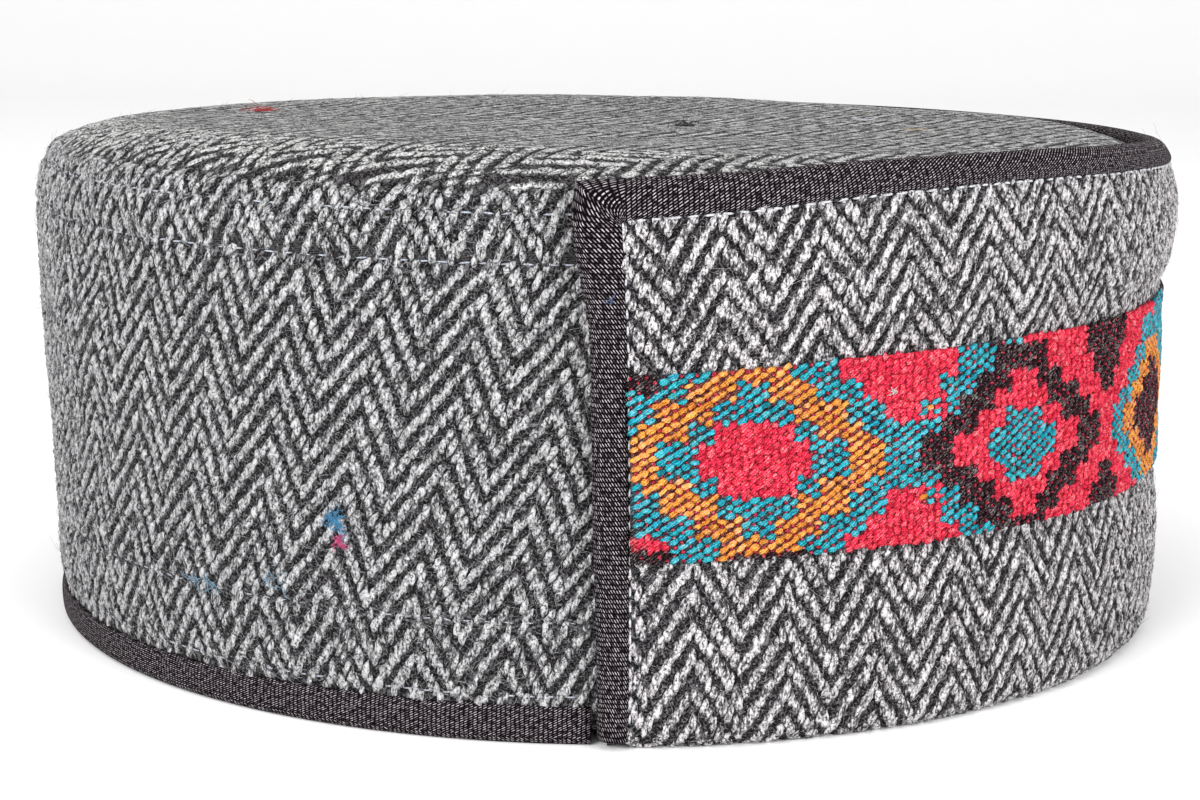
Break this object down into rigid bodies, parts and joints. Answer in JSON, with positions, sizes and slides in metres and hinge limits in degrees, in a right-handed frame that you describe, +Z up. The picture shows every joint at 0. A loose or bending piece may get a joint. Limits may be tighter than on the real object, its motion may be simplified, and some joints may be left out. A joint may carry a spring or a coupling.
{
  "type": "kullu cap",
  "caption": "Round tweed cap with a flat crown and a turned-up front flap, bound in black tape and crossed by a woven pattern border.",
  "frame": {"origin": "middle of the cap's footprint, on the surface that its rim rests on", "axes": "+Z up through the crown, -Y towards the front of the cap, -X towards the wearer's right, which the picture shows"},
  "size_m": [0.192, 0.1898, 0.0825],
  "materials": {
    "tweed": "grey and black herringbone wool tweed, hairy, without shine",
    "black_tape": "folded black cotton twill tape with a fine slanted weave",
    "woven_border": "hand-woven wool band of slanted stitches in turquoise, orange, red and maroon"
  },
  "bodies": {
    "root": {"crown": "tweed", "side_wall": "tweed", "flap": "tweed", "flap_binding": "black_tape", "lower_binding": "black_tape", "woven_border": "woven_border"}
  },
  "joints": []
}
